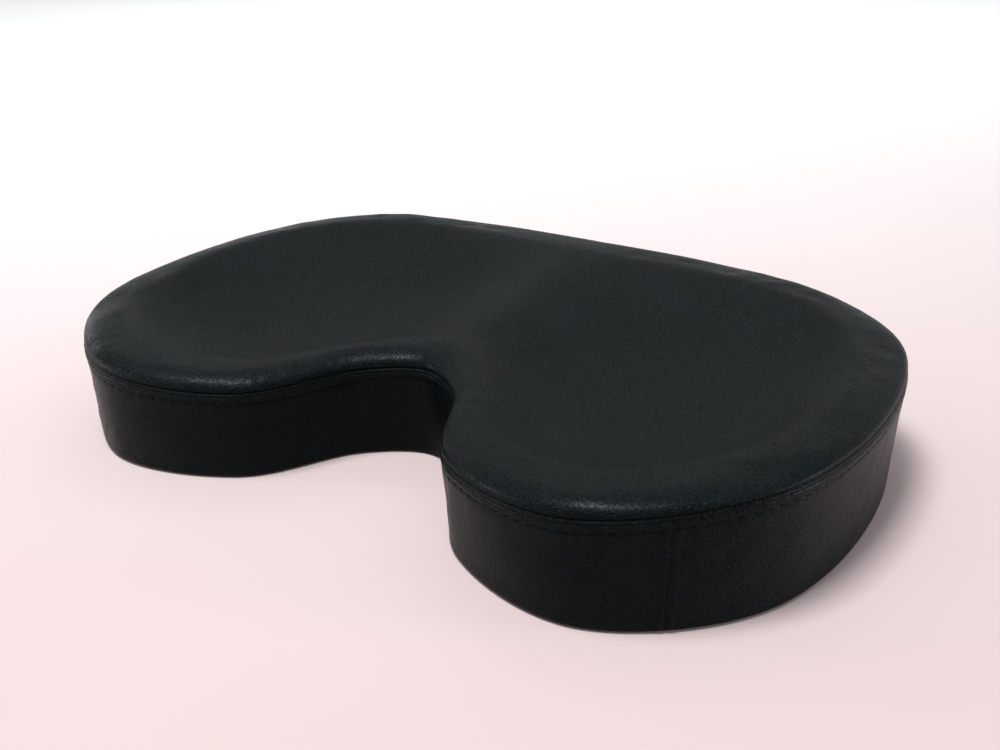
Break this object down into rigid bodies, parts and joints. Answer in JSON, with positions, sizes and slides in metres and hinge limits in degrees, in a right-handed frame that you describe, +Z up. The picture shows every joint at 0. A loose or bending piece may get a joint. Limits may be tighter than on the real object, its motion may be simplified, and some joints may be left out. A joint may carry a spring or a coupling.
{
  "type": "contoured seat cushion",
  "caption": "Contoured office seat cushion: foam on a plywood board, two shallow seat bowls beside a centre ridge, open front notch, sewn leatherette cover.",
  "frame": {"origin": "middle of the plan's bounding box, on the flat underside", "axes": "+X to the right-hand end, +Y to the straight back edge, notch at -Y, +Z up out of the seat"},
  "size_m": [0.4664, 0.2965, 0.0781],
  "materials": {
    "leatherette": "satin, fine pebble grain",
    "wadding": "matt fibre",
    "foam": "matt open cell",
    "plywood": "sanded birch ply",
    "non_woven": "matt spun-bonded",
    "zinc_plate": "bright zinc",
    "staple_steel": "galvanised wire"
  },
  "bodies": {
    "root": {"band_front": "leatherette", "band_rear": "leatherette", "base_board": "plywood", "dust_cover": "non_woven", "dust_cover_staple_01": "staple_steel", "dust_cover_staple_02": "staple_steel", "dust_cover_staple_03": "staple_steel", "dust_cover_staple_04": "staple_steel", "dust_cover_staple_05": "staple_steel", "dust_cover_staple_06": "staple_steel", "dust_cover_staple_07": "staple_steel", "dust_cover_staple_08": "staple_steel", "dust_cover_staple_09": "staple_steel", "dust_cover_staple_10": "staple_steel", "dust_cover_staple_11": "staple_steel", "dust_cover_staple_12": "staple_steel", "dust_cover_staple_13": "staple_steel", "dust_cover_staple_14": "staple_steel", "foam_core": "foam", "hem_staple_front_01": "staple_steel", "hem_staple_front_02": "staple_steel", "hem_staple_front_03": "staple_steel", "hem_staple_front_04": "staple_steel", "hem_staple_front_05": "staple_steel", "hem_staple_front_06": "staple_steel", "hem_staple_front_07": "staple_steel", "hem_staple_front_08": "staple_steel", "hem_staple_front_09": "staple_steel", "hem_staple_front_10": "staple_steel", "hem_staple_front_11": "staple_steel", "hem_staple_front_12": "staple_steel", "hem_staple_rear_01": "staple_steel", "hem_staple_rear_02": "staple_steel", "hem_staple_rear_03": "staple_steel", "hem_staple_rear_04": "staple_steel", "hem_staple_rear_05": "staple_steel", "hem_staple_rear_06": "staple_steel", "hem_staple_rear_07": "staple_steel", "hem_staple_rear_08": "staple_steel", "hem_staple_rear_09": "staple_steel", "hem_staple_rear_10": "staple_steel", "hem_staple_rear_11": "staple_steel", "hem_staple_rear_12": "staple_steel", "hem_staple_rear_13": "staple_steel", "hem_staple_rear_14": "staple_steel", "tee_nut_1": "zinc_plate", "tee_nut_2": "zinc_plate", "tee_nut_3": "zinc_plate", "tee_nut_4": "zinc_plate", "top_panel": "leatherette", "wadding_layer": "wadding"}
  },
  "joints": []
}
